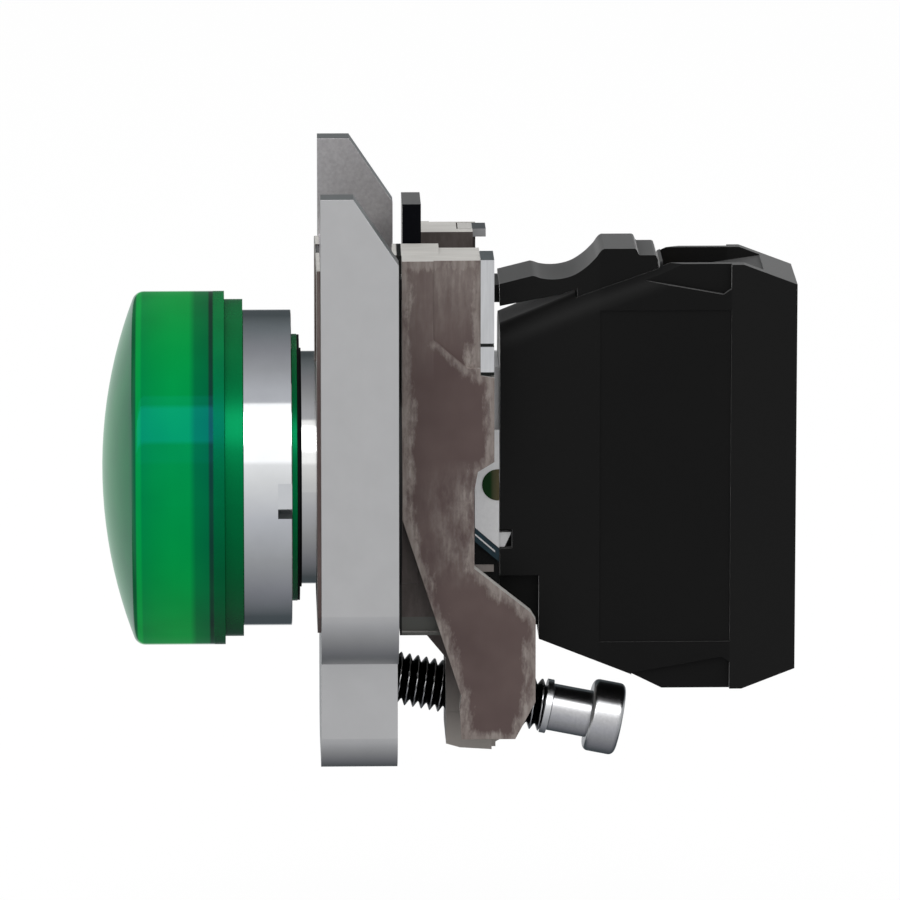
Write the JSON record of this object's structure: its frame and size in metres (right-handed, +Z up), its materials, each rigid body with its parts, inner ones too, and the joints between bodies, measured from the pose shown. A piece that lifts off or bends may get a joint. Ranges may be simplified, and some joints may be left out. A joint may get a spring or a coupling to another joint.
{
  "type": "panel pilot light",
  "caption": "Round green indicator lamp for a 22 mm panel hole, with a chromed bezel, a die-cast clamping collar and a rear light block with screw terminals.",
  "frame": {"origin": "on the lens axis, in the plane of the bezel's back face, which seats on the front of the panel", "axes": "+Y points from the lens through the panel to the terminals, +Z up, X across the width"},
  "size_m": [0.03, 0.0567, 0.0495],
  "materials": {
    "green_lens": "clear green, polished",
    "green_plastic": "moulded green",
    "milky_diffuser": "milky white, satin",
    "chromed_metal": "bright chrome plate",
    "black_rubber": "matt",
    "raw_zinc": "as cast, mottled",
    "grey_zinc": "smooth satin grey",
    "black_plastic": "moulded, satin",
    "plated_steel": "bright zinc plate",
    "spring_steel": "plain",
    "black_block": "fine moulded texture",
    "pale_plastic": "moulded light grey",
    "green_led": "clear green epoxy",
    "green_board": "green solder resist",
    "resistor_body": "lacquered",
    "capacitor_body": "dipped epoxy",
    "brass": "stamped"
  },
  "bodies": {
    "head_and_block": {"lens_cap": "green_lens", "lens_carrier": "green_plastic", "diffuser": "milky_diffuser", "bezel": "chromed_metal", "locating_ring": "green_plastic", "panel_seal": "black_rubber", "neck_sleeve": "chromed_metal", "collar_body": "raw_zinc", "rail_strip_right": "plated_steel", "rail_strip_left": "plated_steel", "block_housing": "black_block", "block_cover": "black_block", "latch_pin": "spring_steel", "led_carrier": "pale_plastic", "led_tube": "pale_plastic", "led": "green_led", "circuit_board": "green_board", "upper_resistor": "resistor_body", "lower_resistor": "resistor_body", "capacitor": "capacitor_body", "rectifier": "black_plastic", "upper_terminal_bar": "brass", "lower_terminal_bar": "brass"},
    "plate": {"clamp_plate": "grey_zinc", "plate_facing": "raw_zinc"},
    "lever": {"locking_ring": "black_plastic"},
    "clamp_ring": {"screw_ring": "spring_steel"},
    "clamp_bolt": {"clamp_screw": "plated_steel"},
    "latch": {"release_latch": "black_block"},
    "upper_washer": {"upper_clamp_washer": "plated_steel"},
    "upper_bolt": {"upper_terminal_screw": "plated_steel"},
    "lower_washer": {"lower_clamp_washer": "plated_steel"},
    "lower_bolt": {"lower_terminal_screw": "plated_steel"}
  },
  "joints": [
    {"name": "lever_turn", "type": "hinge", "parent": "head_and_block", "child": "lever", "pos_m": [0, 0.00984, 0], "axis": [0, 1, 0], "range_deg": [-22, 0]},
    {"name": "latch_turn", "type": "hinge", "parent": "head_and_block", "child": "latch", "pos_m": [0, 0.0263, 0.0145], "axis": [1, 0, 0], "range_deg": [-3, 0], "stiffness_Nm_per_rad": 0.02, "springref_deg": 2.86},
    {"name": "plate_slide", "type": "slide", "parent": "head_and_block", "child": "plate", "axis": [0, 1, 0], "range_m": [-0.001, 0.004]},
    {"name": "clamp_screw_slide", "type": "slide", "parent": "head_and_block", "child": "clamp_ring", "axis": [0, 0.9803, -0.1977], "range_m": [-0.00103, 0.00408]},
    {"name": "clamp_screw_turn", "type": "hinge", "parent": "clamp_ring", "child": "clamp_bolt", "pos_m": [0, 0.0078, -0.01764], "axis": [0, 0.9803, -0.1977], "range_deg": [-525, 2096]},
    {"name": "upper_washer_slide", "type": "slide", "parent": "head_and_block", "child": "upper_washer", "axis": [0, -1, 0], "range_m": [0, 0.0023]},
    {"name": "upper_screw_turn", "type": "hinge", "parent": "upper_washer", "child": "upper_bolt", "pos_m": [0, 0.0354, 0.0128], "axis": [0, -1, 0], "range_deg": [0, 1383]},
    {"name": "lower_washer_slide", "type": "slide", "parent": "head_and_block", "child": "lower_washer", "axis": [0, -1, 0], "range_m": [0, 0.0023]},
    {"name": "lower_screw_turn", "type": "hinge", "parent": "lower_washer", "child": "lower_bolt", "pos_m": [0, 0.0354, -0.0128], "axis": [0, -1, 0], "range_deg": [0, 1383]}
  ],
  "couplings": [
    {"joint": "clamp_screw_turn", "follows": "plate_slide", "rad_per_m": 9156.6},
    {"joint": "clamp_screw_slide", "follows": "plate_slide", "ratio": 1.0201},
    {"joint": "upper_screw_turn", "follows": "upper_washer_slide", "rad_per_m": 10472},
    {"joint": "lower_screw_turn", "follows": "lower_washer_slide", "rad_per_m": 10472}
  ]
}
